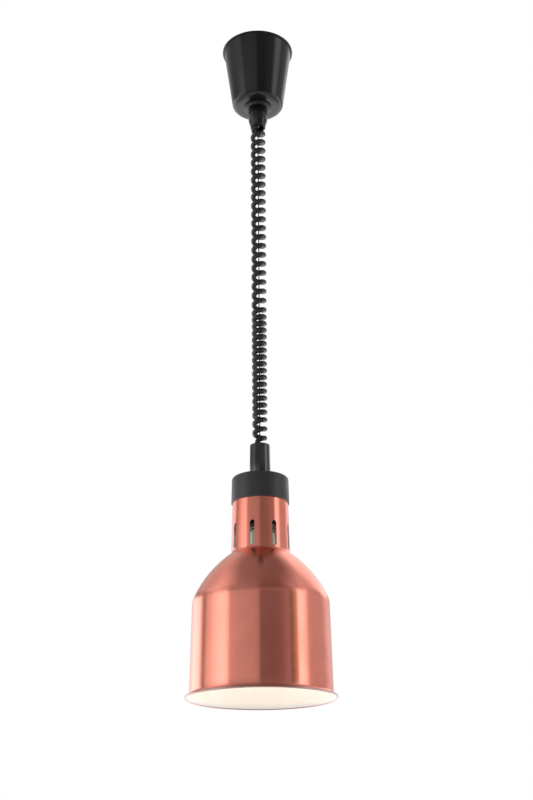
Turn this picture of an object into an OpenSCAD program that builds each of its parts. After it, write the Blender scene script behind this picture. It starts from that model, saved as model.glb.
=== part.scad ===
// Rise-and-fall pendant heat lamp.
// The origin is on the ceiling, on the axis of the suspension wire. +Z points up, so the lamp hangs
// at negative z. A sprung reel in the ceiling cup holds the wire, and a curly cord follows the lamp.

/* [Ceiling cup] */
// Height of the cup below the ceiling
cup_h = 92; // [88:1:140]
// Radius of the cup wall at the ceiling
cup_top_r = 46.4; // [45:0.1:70]
// Radius that the tapered wall would have at the cup's floor
cup_floor_r = 34.2; // [34:0.1:50]
// Wall of the cup
cup_wall = 1.8; // [1.2:0.1:3]
// Radius of the rounded edge round the cup's floor
cup_edge_r = 6.4; // [4:0.1:9]
// How far the lip stands out of the wall
lip_w = 2.3; // [1:0.1:5]
// Height of the lip
lip_h = 2.4; // [1:0.1:6]

/* [Ceiling plate and reel frame] */
// Thickness of the ceiling plate
plate_t = 2; // [1.5:0.1:4]
// Gap between the plate's edge and the cup wall
plate_gap = 2.6; // [1:0.1:6]
// Distance between the two ceiling screws
fix_spacing = 60; // [50:1:70]
// Radius of the ceiling screw holes
fix_hole_r = 2.6; // [2:0.1:3.5]
// Radius of the hole for the supply cable
supply_hole_r = 7; // [5:0.5:9]
// Thickness of the steel reel frame
frame_t = 2; // [1.5:0.1:3]
// Height left between the frame's foot and the bottom of the cup
foot_gap = 14; // [13:0.5:30]

/* [Wire reel] */
// Depth of the reel axle below the ceiling
reel_depth = 43; // [41:0.5:48]
// Radius of the drum that the wire is wound on
drum_r = 13; // [10:0.5:14]
// Width of the drum between its flanges
groove_w = 17; // [15:0.5:18]
// Radius of the suspension wire
wire_r = 0.75; // [0.5:0.05:1]
// Radius of the reel axle
axle_r = 3; // [2:0.1:4]
// Radial clearance of the drum on its axle
run_gap = 0.05; // [0.02:0.01:0.1]
// Turns of wire on the drum at rest
wound_turns = 9; // [4:1:9]
// Turns of the mainspring
spring_turns = 6; // [4:1:8]

/* [Cord and gland] */
// Diameter of the three-core cable
cable_d = 6.4; // [5:0.1:7]
// Outer diameter of the curly cord at the ceiling
coil_top_d = 20.6; // [19:0.1:24]
// Outer diameter of the curly cord at the lamp
coil_low_d = 19; // [17:0.1:24]
// Length of the curly cord as it hangs
coil_len = 461.5; // [300:0.5:1200]
// Radius of the gland's flange
gland_flange_r = 18.7; // [16:0.1:24]
// Radius of the gland's body
gland_r = 12.8; // [12.4:0.1:15]
// Height of the gland below the cup
gland_h = 33.5; // [28:0.5:45]

/* [Stem and cap] */
// Length of the stem sleeve above the cap
sleeve_h = 43; // [35:0.5:70]
// Radius of the sleeve at its top
sleeve_top_r = 12.3; // [12.2:0.1:16]
// Radius of the sleeve at the cap
sleeve_low_r = 12.8; // [12.6:0.1:16]
// Height of the cap
cap_h = 32; // [29:0.5:50]
// Wall of the cap
cap_wall = 1.2; // [0.8:0.1:2]
// Radius of the cap's rounded top edge
cap_edge_r = 3; // [1:0.1:4]

/* [Shade] */
// Radius of the neck at its top
neck_top_r = 33.2; // [33:0.1:45]
// Radius of the neck where it meets the dome
neck_low_r = 34.9; // [34:0.1:47]
// Visible length of the neck
neck_h = 62.5; // [60:0.5:90]
// Radius of the shade at the crease under the dome
dome_r = 80.3; // [75:0.1:110]
// Height of the dome
dome_h = 56.5; // [48:0.5:80]
// Radius of the dome's curve, seen from the side
dome_curve_r = 136; // [90:1:200]
// How far the rounding of the crease reaches, up and down from it
crease_reach = 5; // [2:0.5:12]
// Radius of the shade above the flared rim
body_r = 82.2; // [80:0.1:115]
// Height of the body between the crease and the flare
body_h = 106; // [90:0.5:160]
// Radius over the rim
rim_r = 87.5; // [85:0.1:120]
// Height of the flared rim
rim_h = 6; // [5:0.5:12]
// Thickness of the shade's metal
shade_wall = 1.2; // [0.8:0.1:2]
// Radius of the rolled bead on the rim
bead_r = 1.4; // [1.2:0.1:2.5]

/* [Cooling slots] */
// Number of slots round the neck
slot_n = 8; // [4:1:10]
// Width of a slot
slot_w = 5.8; // [4:0.1:8]
// Length of a slot
slot_len = 30; // [20:0.5:35]
// Height of the plain band under the slots
slot_foot = 4; // [3:0.5:10]
// Angle of the first slot, measured from +X
slot_turn = -16.3; // [-45:0.1:45]

/* [Lampholder and bulb] */
// Height of the lampholder
holder_h = 41; // [41:0.5:56]
// Radius of the lampholder at its top
holder_r = 22; // [21:0.1:23]
// Radius over the bulb's screw thread
thread_r = 13.1; // [13:0.05:13.2]
// Pitch of the bulb's screw thread
thread_pitch = 3.6; // [3.5:0.1:3.7]
// Length of the bulb from its contact to its face
bulb_len = 176; // [165:1:180]
// Radius of the bulb at its widest
bulb_r = 62.5; // [45:0.5:62.5]
// Radius of the bulb's neck
bulb_neck_r = 17; // [15:0.5:19]
// Thickness of the bulb's glass
glass_t = 1.2; // [0.8:0.1:2]

/* [Hidden] */
$fn = 96;

// small gaps between pieces that are assembled together
fit = 0.1;
seat_gap = 0.3;
eps = 0.01;

// heights, from the ceiling down
cup_z = -cup_h;
gland_z = cup_z - gland_h;
sleeve_z = gland_z - coil_len;
cap_z = sleeve_z - sleeve_h;
cap_low_z = cap_z - cap_h;
dome_z = cap_low_z - neck_h;
crease_z = dome_z - dome_h;
flare_z = crease_z - body_h;
rim_z = flare_z - rim_h;

// ceiling plate and reel frame
plate_r = cup_top_r - cup_wall - plate_gap;
supply_y = plate_r - supply_hole_r - 7;
frame_foot_z = cup_z + foot_gap;
frame_low_x = -20;
frame_high_x = 15;
frame_screw_x = [-13, 8];
frame_screw_y = 2;
m4_r = 2;
m4_head_r = 3.8;
m4_head_h = 2.4;
m3_r = 1.4;
m3_head_r = 2.8;
m3_head_h = 1.8;

// reel
wound_r = drum_r + run_gap + wire_r;
reel_x = -wound_r;
reel_z = -reel_depth;
flange_w = 1.5;
flange_r = drum_r + 4;
drum_w = groove_w + 2 * flange_w;
case_in_r = flange_r + 1;
case_wall = 1.8;
case_r = case_in_r + case_wall;
case_gap = 0.6;
case_in_w = drum_w + 2 * case_gap;
case_half_w = case_in_w / 2 + case_wall;
spring_r = drum_r - 1.2;
spring_t = 0.5;
axle_head_r = 5;
axle_head_h = 3;
axle_nut_h = 4;
ear_r = 4;
ear_x = 0;
ear_z = reel_z + 18;
guide_r = 3;
guide_bore_r = wire_r + 0.35;
guide_boss_r = 4.6;
guide_z = reel_z - sqrt(case_r * case_r - wound_r * wound_r) - 4.5;
guide_lip_h = 1.2;
wire_top_z = reel_z - 7.2;
wound_pitch = 2 * wire_r + 0.1;

// threaded outlet and gland
nipple_r = 9.9;
nipple_bore_r = 8;
nut_af = 24;
nut_h = 4;
nipple_top_z = frame_foot_z + nut_h + 1;
gland_flange_h = 4.5;
nipple_low_z = cup_z - gland_flange_h - 8;
gland_mouth_r = 10.4;
tail_off = nipple_bore_r - cable_d / 2 - 0.3;

// terminal block
block_w = 34;
block_d = 15;
block_h = 15;
block_y = -36.5;
pole_pitch = 12;
pole_w = 7;
barrel_r = 3;
barrel_bore_r = 1.7;
lead_r = 1.1;
ceiling_tail_y = -(case_half_w + axle_head_h + cable_d / 2 + 0.9);

// stem
spigot_r = 11.5;
spigot_len = 10;
stem_bore_top_r = 9;
stem_bore_low_r = 9.7;
anchor_z = sleeve_z - 19;
anchor_t = 2.5;
ferrule_r = 2;
ferrule_h = 8;
stem_tail_off = ferrule_r + cable_d / 2 + seat_gap;
tail_turn = 235;
tail_x = stem_tail_off * cos(tail_turn);
tail_y = stem_tail_off * sin(tail_turn);

// bridge, strap and lampholder
cap_top_t = 1.5;
cap_gap = 0.25;
neck_top_z = cap_z - 18;
neck_slope = (neck_low_r - neck_top_r) / (neck_top_z - dome_z);
bridge_t = 2;
bridge_w = 18;
bridge_ring_r = 17;
bridge_leg_x = neck_top_r - 9.8;
bridge_foot_x = neck_top_r - 2.4;
bolt_x = neck_top_r - 5.2;
stem_nut_af = 30;
stem_nut_h = 5;
shade_hole_r = 23.4;
strap_z = neck_top_z - shade_wall;
strap_t = 2;
strap_w = 20;
strap_len = 2 * (neck_top_r - 3.2);
grip_h = 8;
grip_w = 13;
holder_z = strap_z - strap_t;
holder_low_z = holder_z - holder_h;
holder_low_r = 20.5;
chamber_r = 16;
chamber_h = 12;
socket_depth = 27;
socket_z = holder_low_z + socket_depth;
holder_screw_x = (chamber_r + holder_r) / 2;
holder_screw_len = 8;
shell_r = 14.3;
shell_t = 0.8;
shell_len = 24;
contact_h = 3.5;
terminal_x = 9;
terminal_w = 6;

// bulb
bulb_z = socket_z - contact_h - seat_gap;
bulb_contact_r = 4.5;
bulb_contact_h = 1.5;
insulator_h = 3.5;
base_z = bulb_z - bulb_contact_h - insulator_h;
base_len = 22;
base_t = 0.5;
neck_glass_z = base_z - base_len + 1.5;
base_in_r = thread_r - 0.9 - base_t;
bulb_neck_z = base_z - base_len - 5;
flare_top_z = bulb_neck_z - 28;
bulb_low_z = bulb_z - bulb_len;
bulb_wide_z = bulb_low_z + 44;
stem_glass_r = 4;
filament_ring_r = 15;
filament_z = flare_top_z - 52;

// points on a quadratic curve from a to c, pulled towards b
function curve2(a, b, c, n = 6) =
    [for (i = [0 : n]) let (t = i / n) a * (1 - t) * (1 - t) + b * 2 * t * (1 - t) + c * t * t];

// points on a cubic curve from a to d, with handles b and c
function curve3(a, b, c, d, n = 10) =
    [for (i = [0 : n]) let (t = i / n, u = 1 - t)
        a * u * u * u + b * 3 * u * u * t + c * 3 * u * t * t + d * t * t * t];

// points on the arc of radius r from a to b that bulges to the left of the way from a to b
// and ends at the distance short before b
function arc_points(a, b, r, short, n = 12) =
    let (d = b - a, c = norm(d), side = [-d.y, d.x] / c, m = (a + b) / 2 - side * sqrt(r * r - c * c / 4),
        start = atan2(a.y - m.y, a.x - m.x), sweep = 2 * asin(c / 2 / r) - short / r * 180 / PI)
    [for (i = [0 : n]) m + r * [cos(start - sweep * i / n), sin(start - sweep * i / n)]];

// unit normal to the right of the way from a to b
function right_of(a, b) = [(b - a).y, -(b - a).x] / norm(b - a);

// point i of a path, moved to the right by t with mitred corners
function inset_point(path, i, t) =
    let (last = len(path) - 1,
        n1 = i > 0 ? right_of(path[i - 1], path[i]) : right_of(path[0], path[1]),
        n2 = i < last ? right_of(path[i], path[i + 1]) : n1)
    path[i] + (n1 + n2) * t / (1 + n1 * n2);

// outline of a sheet of thickness t whose outer face follows the path
function sheet(path, t) = concat(path, [for (i = [len(path) - 1 : -1 : 0]) inset_point(path, i, t)]);

// unit direction of a 3D path at point i
function way(path, i) =
    let (a = path[max(i - 1, 0)], b = path[min(i + 1, len(path) - 1)]) (b - a) / norm(b - a);

// round bar swept along a 3D path
module bar(path, r, sides = 10) {
    n = len(path);
    side_ref = [0.8, 0.35, 0.25];
    rings = [for (i = [0 : n - 1]) let (w = way(path, i), u = cross(w, side_ref) / norm(cross(w, side_ref)),
        v = cross(w, u)) for (k = [0 : sides - 1]) let (a = 360 * k / sides)
        path[i] + r * (u * cos(a) + v * sin(a))];
    walls = [for (i = [0 : n - 2]) for (k = [0 : sides - 1]) let (j = (k + 1) % sides)
        [i * sides + k, (i + 1) * sides + k, (i + 1) * sides + j, i * sides + j]];
    first = [[for (k = [0 : sides - 1]) k]];
    last = [[for (k = [sides - 1 : -1 : 0]) (n - 1) * sides + k]];
    polyhedron(rings, concat(first, walls, last), convexity = 6);
}

// round tube standing from z_low to z_high
module tube(r_out, r_in, z_low, z_high) {
    translate([0, 0, z_low]) difference() {
        cylinder(r = r_out, h = z_high - z_low);
        translate([0, 0, -1]) cylinder(r = r_in, h = z_high - z_low + 2);
    }
}

// hexagon nut standing from z_low to z_high
module hex_nut(af, bore_r, z_low, z_high) {
    translate([0, 0, z_low]) difference() {
        cylinder(r = af / 2 / cos(30), h = z_high - z_low, $fn = 6);
        translate([0, 0, -1]) cylinder(r = bore_r, h = z_high - z_low + 2);
    }
}

// pan-head screw with its seat at z = 0, its head above and its shank below
module screw(r, len, head_r, head_h) {
    difference() {
        union() {
            translate([0, 0, -len]) cylinder(r = r, h = len + head_h / 2);
            cylinder(r1 = head_r, r2 = head_r * 0.8, h = head_h);
        }
        for (turn = [0, 90]) rotate(turn) translate([-head_r * 0.6, -head_r * 0.12, head_h * 0.45])
            cube([head_r * 1.2, head_r * 0.24, head_h]);
    }
}

// disc or bore across the reel, from y_low to y_high, on the reel's axis
module reel_disc(r, y_low, y_high) {
    translate([reel_x, y_high, reel_z]) rotate([90, 0, 0]) cylinder(r = r, h = y_high - y_low);
}

// steel disc screwed to the ceiling
module ceiling_plate() {
    color("gainsboro") difference() {
        translate([0, 0, -plate_t]) cylinder(r = plate_r, h = plate_t);
        for (side = [-1, 1]) translate([side * fix_spacing / 2, 0, -plate_t - 1])
            cylinder(r = fix_hole_r, h = plate_t + 2);
        translate([0, supply_y, -plate_t - 1]) cylinder(r = supply_hole_r, h = plate_t + 2);
        for (x = frame_screw_x) translate([x, frame_screw_y, -plate_t - 1])
            cylinder(r = m4_r + fit, h = plate_t + 2);
        translate([pole_pitch / 2, block_y + block_d / 2, -plate_t - 1])
            cylinder(r = m3_r + fit, h = plate_t + 2);
    }
}

// bent steel strap that carries the reel and the outlet
module reel_frame() {
    strap_y = case_half_w;
    wide = frame_high_x - frame_low_x;
    foot_depth = strap_y + frame_t + 14;
    color("silver") difference() {
        union() {
            translate([frame_low_x, -8, -plate_t - frame_t]) cube([wide, strap_y + frame_t + 8, frame_t]);
            translate([frame_low_x, strap_y, frame_foot_z - frame_t])
                cube([wide, frame_t, -plate_t - frame_foot_z + frame_t]);
            translate([frame_low_x, -14, frame_foot_z - frame_t]) cube([wide, foot_depth, frame_t]);
        }
        for (x = frame_screw_x) translate([x, frame_screw_y, -plate_t - frame_t - 1])
            cylinder(r = m4_r + fit, h = frame_t + 2);
        translate([0, 0, frame_foot_z - frame_t - 1]) cylinder(r = nipple_r + fit, h = frame_t + 2);
        reel_disc(axle_r + fit, strap_y - 1, strap_y + frame_t + 1);
        translate([ear_x, strap_y + frame_t + 1, ear_z]) rotate([90, 0, 0])
            cylinder(r = m3_r + fit, h = frame_t + 2);
    }
}

// screws that hold the frame up to the ceiling plate
module frame_screws() {
    color("silver") for (x = frame_screw_x) translate([x, frame_screw_y, -plate_t - frame_t])
        rotate([180, 0, 0]) screw(m4_r, plate_t + frame_t, m4_head_r, m4_head_h);
}

// tapered cup with a lip at the ceiling and a rounded floor
module ceiling_cup() {
    lean = (cup_top_r - cup_floor_r) / cup_h;
    edge_r = cup_floor_r + lean * cup_edge_r;
    outer = concat([[cup_top_r, -eps]], curve2([edge_r, cup_z + cup_edge_r], [cup_floor_r, cup_z],
        [cup_floor_r - cup_edge_r, cup_z], 8), [[nipple_r + fit, cup_z]]);
    color("#1f1f20") union() {
        rotate_extrude() polygon(sheet(outer, cup_wall));
        rotate_extrude() polygon([[cup_top_r - cup_wall / 2, 0], [cup_top_r + lip_w - 0.6, 0],
            [cup_top_r + lip_w, -0.6], [cup_top_r + lip_w, 0.6 - lip_h],
            [cup_top_r + lip_w - 0.6, -lip_h], [cup_top_r - cup_wall / 2, -lip_h]]);
    }
}

// round housing of the reel, open towards the frame, with an ear and a boss for the wire guide
module reel_case() {
    color("dimgray") difference() {
        union() {
            reel_disc(case_r, -case_half_w, case_in_w / 2);
            translate([ear_x, case_half_w, ear_z]) rotate([90, 0, 0]) cylinder(r = ear_r, h = 9);
            translate([0, 0, guide_z]) cylinder(r = guide_boss_r, h = 8);
        }
        reel_disc(case_in_r, -case_in_w / 2, case_half_w + 1);
        reel_disc(case_r + fit, case_in_w / 2, case_half_w + 1);
        reel_disc(axle_r + fit, -case_half_w - 1, 0);
        translate([0, 0, guide_z - 1]) cylinder(r = guide_r + run_gap, h = 20);
        translate([ear_x, case_half_w + 1, ear_z]) rotate([90, 0, 0]) cylinder(r = m3_r + run_gap, h = 12);
    }
}

// flat cover of the reel housing, against the frame
module reel_cover() {
    color("dimgray") difference() {
        reel_disc(case_r, case_in_w / 2, case_half_w);
        reel_disc(axle_r + fit, 0, case_half_w + 1);
    }
}

// shoulder bolt that the drum turns on
module reel_axle() {
    color("silver") union() {
        reel_disc(axle_head_r, -case_half_w - axle_head_h, -case_half_w);
        reel_disc(axle_r, -case_half_w - 1, case_half_w + frame_t + axle_nut_h + 1);
    }
}

// nut behind the frame
module axle_nut() {
    color("silver") translate([reel_x, case_half_w + frame_t, reel_z]) rotate([-90, 0, 0])
        hex_nut(10, axle_r + run_gap, 0, axle_nut_h);
}

// screw that stops the reel housing from turning
module case_screw() {
    color("silver") translate([ear_x, case_half_w + frame_t, ear_z]) rotate([-90, 0, 0])
        screw(m3_r, frame_t + 7, m3_head_r, m3_head_h);
}

// smooth bush that the wire runs out through
module wire_guide() {
    color("ivory") union() {
        tube(guide_r, guide_bore_r, guide_z - eps, guide_z + 5);
        tube(guide_boss_r - 0.3, guide_bore_r, guide_z - guide_lip_h, guide_z);
    }
}

// spool with a hollow for the mainspring
module reel_drum() {
    color("darkorange") difference() {
        union() {
            reel_disc(drum_r, -drum_w / 2, drum_w / 2);
            for (y = [-drum_w / 2, drum_w / 2 - flange_w]) reel_disc(flange_r, y, y + flange_w);
        }
        reel_disc(spring_r, -drum_w / 2 + 3, drum_w / 2 + 1);
        reel_disc(axle_r + run_gap, -drum_w, drum_w);
    }
}

// flat spiral spring that winds the wire back in
module mainspring() {
    steps = spring_turns * 24;
    first_r = axle_r + 0.6;
    gain = spring_r - seat_gap - spring_t - first_r;
    function spiral(i, more) = (first_r + gain * i / steps + more)
        * [cos(360 * spring_turns * i / steps), sin(360 * spring_turns * i / steps)];
    color("steelblue") translate([reel_x, drum_w / 2 - 0.5, reel_z]) rotate([90, 0, 0])
        linear_extrude(height = drum_w - 4) polygon(concat([for (i = [0 : steps]) spiral(i, 0)],
            [for (i = [steps : -1 : 0]) spiral(i, spring_t)]));
}

// wire wound on the drum in one layer of turns
module wound_wire() {
    wide = (wound_turns - 1) * wound_pitch;
    color("#2b2b2b") translate([reel_x, 0, reel_z]) rotate([90, 0, 0]) rotate_extrude() union() {
        translate([drum_r + run_gap, -wide / 2]) square([wire_r, wide]);
        for (i = [0 : wound_turns - 1]) translate([wound_r, i * wound_pitch - wide / 2])
            circle(r = wire_r, $fn = 24);
    }
}

// threaded tube that the wire and cord leave through
module outlet_nipple() {
    color("silver") tube(nipple_r, nipple_bore_r, nipple_low_z, nipple_top_z);
}

// nuts above and below the frame's foot, and on the cup's floor
module nipple_nuts() {
    color("silver") for (z = [frame_foot_z, frame_foot_z - frame_t - nut_h, cup_z + cup_wall])
        hex_nut(nut_af, nipple_r + run_gap, z, z + nut_h);
}

// wide threaded ring that holds the cup up
module gland_flange() {
    low_z = cup_z - gland_flange_h;
    color("#1b1b1c") rotate_extrude() polygon([[nipple_r + run_gap, cup_z], [gland_flange_r - 0.8, cup_z],
        [gland_flange_r, cup_z - 0.8], [gland_flange_r, cup_z - 2.4], [gland_flange_r - 0.6, cup_z - 2.8],
        [gland_flange_r - 2, cup_z - 2.8], [gland_flange_r - 2.4, low_z], [nipple_r + run_gap, low_z]]);
}

// tapered body of the gland
module gland_body() {
    top_z = cup_z - gland_flange_h;
    bell_z = gland_z + 12;
    color("#202021") rotate_extrude() polygon(concat(
        [[nipple_r + run_gap, top_z], [gland_r - 0.5, top_z], [gland_r, top_z - 0.5], [gland_r, bell_z]],
        curve2([gland_r - 0.4, bell_z - 1.5], [gland_mouth_r, gland_z + 3], [gland_mouth_r, gland_z + 1], 4),
        [[gland_mouth_r - 1, gland_z], [nipple_bore_r, gland_z], [nipple_bore_r, nipple_low_z - 0.3],
        [nipple_r + run_gap, nipple_low_z - 0.3]]));
}

// moulded body of the three-pole terminal block
module terminal_block() {
    color("ivory") translate([0, block_y, -plate_t - block_h]) difference() {
        union() {
            translate([-block_w / 2, 0, 5]) cube([block_w, block_d, block_h - 5]);
            for (i = [-1 : 1]) translate([i * pole_pitch - pole_w / 2, 0, 0])
                cube([pole_w, block_d, block_h]);
        }
        for (i = [-1 : 1]) {
            translate([i * pole_pitch, block_d + 1, 7.5]) rotate([90, 0, 0])
                cylinder(r = barrel_r + run_gap, h = block_d + 2);
            for (y = [3.5, block_d - 3.5]) translate([i * pole_pitch, y, -1]) cylinder(r = m3_r + 0.6, h = 7);
        }
        translate([pole_pitch / 2, block_d / 2, -1]) cylinder(r = m3_r + fit, h = block_h + 2);
    }
}

// brass barrels that join the wires
module terminal_barrels() {
    color("gold") for (i = [-1 : 1])
        translate([i * pole_pitch, block_y + block_d - 1, -plate_t - block_h + 7.5])
        rotate([90, 0, 0]) difference() {
            cylinder(r = barrel_r, h = block_d - 2);
            translate([0, 0, -1]) cylinder(r = barrel_bore_r, h = block_d);
            for (z = [2.5, block_d - 4.5]) translate([0, 0, z]) rotate([90, 0, 0])
                cylinder(r = m3_r + run_gap, h = 5);
        }
}

// clamping screws of the terminal block
module terminal_screws() {
    color("silver") for (i = [-1 : 1], y = [3.5, block_d - 3.5])
        translate([i * pole_pitch, block_y + y, -plate_t - block_h + 1]) difference() {
            cylinder(r = m3_r, h = 4.2);
            translate([-m3_r, -0.25, -1]) cube([2 * m3_r, 0.5, 1.7]);
        }
}

// screw that holds the block up to the plate
module block_screw() {
    color("silver") translate([pole_pitch / 2, block_y + block_d / 2, -plate_t - block_h + 5])
        rotate([180, 0, 0]) screw(m3_r, block_h - 5 + plate_t, m3_head_r - 0.4, m3_head_h);
}

// cable from the gland, round the reel, towards the terminal block
ceiling_tail = [[0, -tail_off, gland_z], [0, -tail_off, nipple_top_z - 1],
    [0, -tail_off - 0.6, nipple_top_z + 2], [0, -tail_off - 3, nipple_top_z + 5],
    [0, -10.5, nipple_top_z + 8.5], [0, -14.5, nipple_top_z + 12],
    [0, ceiling_tail_y + 1, nipple_top_z + 17], [0, ceiling_tail_y, nipple_top_z + 23],
    [0, ceiling_tail_y, -32]];
module cord_tail_ceiling() {
    color("#222222") bar(ceiling_tail, cable_d / 2, 12);
}

// the three cores, from the end of the cable into the terminal block
module leads_ceiling() {
    entry_y = block_y + block_d;
    entry_z = -plate_t - block_h + 7.5;
    color("peru") for (i = [-1 : 1]) bar([[i * 1.8, ceiling_tail_y, -31.9], [i * 1.8, ceiling_tail_y, -30.5],
        [i * 3.4, ceiling_tail_y, -27.5],
        [i * pole_pitch * 0.8, entry_y + 2.2, -21], [i * pole_pitch, entry_y + 3.2, entry_z - 5],
        [i * pole_pitch, entry_y + 2.2, entry_z - 1.2], [i * pole_pitch, entry_y, entry_z],
        [i * pole_pitch, entry_y - 4, entry_z]], lead_r, 8);
}

// envelope of the curly cord
module curly_cord() {
    color("#1d1d1d") translate([0, 0, sleeve_z]) difference() {
        cylinder(r1 = coil_low_d / 2, r2 = coil_top_d / 2, h = coil_len);
        translate([0, 0, -1]) cylinder(r = coil_low_d / 2 - cable_d, h = coil_len + 2);
    }
}

// steel wire rope that carries the lamp
module suspension_wire() {
    low_z = anchor_z - anchor_t;
    color("#2b2b2b") translate([0, 0, low_z]) cylinder(r = wire_r, h = wire_top_z - low_z);
}

// tapered sleeve on top of the cap
module stem_sleeve() {
    low_z = cap_z - spigot_len;
    color("#19191a") rotate_extrude() polygon([[stem_bore_top_r, sleeve_z - 1],
        [stem_bore_top_r + 1, sleeve_z], [sleeve_top_r - 1, sleeve_z], [sleeve_top_r, sleeve_z - 1],
        [sleeve_low_r, cap_z], [spigot_r, cap_z], [spigot_r, low_z], [stem_bore_low_r, low_z],
        [stem_bore_low_r, anchor_z], [stem_bore_top_r, anchor_z]]);
}

// plate in the sleeve that the wire hangs the lamp from
module anchor_plate() {
    color("silver") difference() {
        translate([0, 0, anchor_z - anchor_t]) cylinder(r = stem_bore_low_r - fit, h = anchor_t);
        translate([0, 0, anchor_z - anchor_t - 1]) cylinder(r = wire_r + 0.25, h = anchor_t + 2);
        translate([tail_x, tail_y, anchor_z - anchor_t - 1])
            cylinder(r = cable_d / 2 + 0.2, h = anchor_t + 2);
    }
}

// crimped stop on the end of the wire
module wire_ferrule() {
    color("silver") translate([0, 0, anchor_z - anchor_t - ferrule_h]) cylinder(r = ferrule_r, h = ferrule_h);
}

// nut that clamps the sleeve, the cap and the bridge
module stem_nut() {
    nut_z = cap_z - cap_top_t - bridge_t;
    color("silver") hex_nut(stem_nut_af, spigot_r + run_gap, nut_z - stem_nut_h, nut_z);
}

// radius of the neck at height z
function neck_r(z) = neck_top_r + neck_slope * (neck_top_z - z);

// cap over the top of the neck
module cap() {
    cap_low_r = neck_r(cap_low_z) + cap_gap + cap_wall;
    cap_top_r = neck_r(cap_z) + cap_gap + cap_wall;
    outer = concat([[spigot_r + fit, cap_z]], curve2([cap_top_r - cap_edge_r, cap_z], [cap_top_r, cap_z],
        [cap_top_r, cap_z - cap_edge_r]), [[cap_low_r, cap_low_z]]);
    plate = [[spigot_r + fit, cap_z - cap_wall - eps], [spigot_r + fit, cap_z - cap_top_t],
        [cap_top_r - cap_edge_r, cap_z - cap_top_t], [cap_top_r - cap_edge_r, cap_z - cap_wall + eps],
        [spigot_r + fit, cap_z - cap_wall + eps]];
    color("#3c3c3d") union() {
        rotate_extrude() polygon(sheet(outer, cap_wall));
        rotate_extrude() polygon(plate);
    }
}

// bent bridge that carries the shade under the cap
module lamp_bridge() {
    top_z = cap_z - cap_top_t;
    foot_w = bridge_foot_x - bridge_leg_x;
    color("silver") difference() {
        union() {
            translate([0, 0, top_z - bridge_t]) cylinder(r = bridge_ring_r, h = bridge_t);
            translate([-bridge_leg_x - bridge_t, -bridge_w / 2, top_z - bridge_t])
                cube([2 * (bridge_leg_x + bridge_t), bridge_w, bridge_t]);
            for (side = [0, 180]) rotate(side) {
                translate([bridge_leg_x - eps, -bridge_w / 2, neck_top_z])
                    cube([bridge_t, bridge_w, top_z - neck_top_z]);
                translate([bridge_leg_x - 1, -bridge_w / 2, neck_top_z])
                    cube([foot_w + 1, bridge_w, bridge_t]);
            }
        }
        translate([0, 0, top_z - bridge_t - 1]) cylinder(r = spigot_r + fit, h = bridge_t + 2);
        for (side = [-1, 1]) translate([side * bolt_x, 0, neck_top_z - 1])
            cylinder(r = m3_r + fit, h = bridge_t + 2);
    }
}

// outline of the shade's outer face, from its top hole to the rim
function shade_path() =
    let (crease = [dome_r, crease_z],
        dome = arc_points([neck_low_r + 3.4, dome_z - 2.2], crease, dome_curve_r, crease_reach),
        body = [body_r, flare_z])
    concat([[shade_hole_r, neck_top_z]],
        curve2([neck_top_r - 1.5, neck_top_z], [neck_top_r, neck_top_z], [neck_top_r, neck_top_z - 1.5], 4),
        curve2([neck_low_r - neck_slope * 2.2, dome_z + 2.2], [neck_low_r, dome_z],
            [neck_low_r + 2.2, dome_z - 1.4], 4),
        dome,
        [for (p = curve2(dome[len(dome) - 1], crease, crease + (body - crease) * crease_reach / body_h))
            if (p.y < dome[len(dome) - 1].y) p],
        curve2(body, [body_r + 0.3, flare_z - rim_h * 0.5], [rim_r - bead_r, rim_z + bead_r * 1.4], 5));

// spun shade with a slotted neck, a dome, a plain body and a rolled rim
module shade() {
    slot_low_z = dome_z + slot_foot;
    color("#c47a66") difference() {
        union() {
            rotate_extrude() polygon(sheet(shade_path(), shade_wall));
            translate([0, 0, rim_z + bead_r]) rotate_extrude() translate([rim_r - bead_r, 0])
                circle(r = bead_r, $fn = 24);
        }
        for (i = [0 : slot_n - 1]) rotate(slot_turn + 90 + i * 360 / slot_n) {
            translate([neck_top_r - 8, -slot_w / 2, slot_low_z]) cube([16, slot_w, slot_len - slot_w / 2]);
            translate([neck_top_r - 8, 0, slot_low_z + slot_len - slot_w / 2]) rotate([0, 90, 0])
                cylinder(r = slot_w / 2, h = 16);
        }
        for (side = [-1, 1]) translate([side * bolt_x, 0, neck_top_z - 3]) cylinder(r = m3_r + fit, h = 6);
    }
}

// strap under the top of the shade that carries the lampholder
module holder_strap() {
    color("silver") translate([0, 0, strap_z - strap_t]) difference() {
        translate([-strap_len / 2, -strap_w / 2, 0]) cube([strap_len, strap_w, strap_t]);
        for (side = [-1, 1]) {
            translate([side * bolt_x, 0, -1]) cylinder(r = m3_r + fit, h = strap_t + 2);
            translate([side * holder_screw_x, 0, -1]) cylinder(r = m3_r + fit, h = strap_t + 2);
        }
        translate([tail_x, tail_y, -1]) cylinder(r = cable_d / 2 + 0.2, h = strap_t + 2);
    }
}

// bolts through the bridge, the shade and the strap
module bridge_bolts() {
    grip = bridge_t + shade_wall + strap_t;
    color("silver") for (side = [-1, 1]) translate([side * bolt_x, 0, neck_top_z + bridge_t])
        screw(m3_r, grip + 3, m3_head_r - 0.3, m3_head_h);
}

// nuts under the strap
module bridge_nuts() {
    color("silver") for (side = [-1, 1]) translate([side * bolt_x, 0, strap_z - strap_t])
        rotate(30) hex_nut(5, m3_r + run_gap, -2.3, 0);
}

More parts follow.
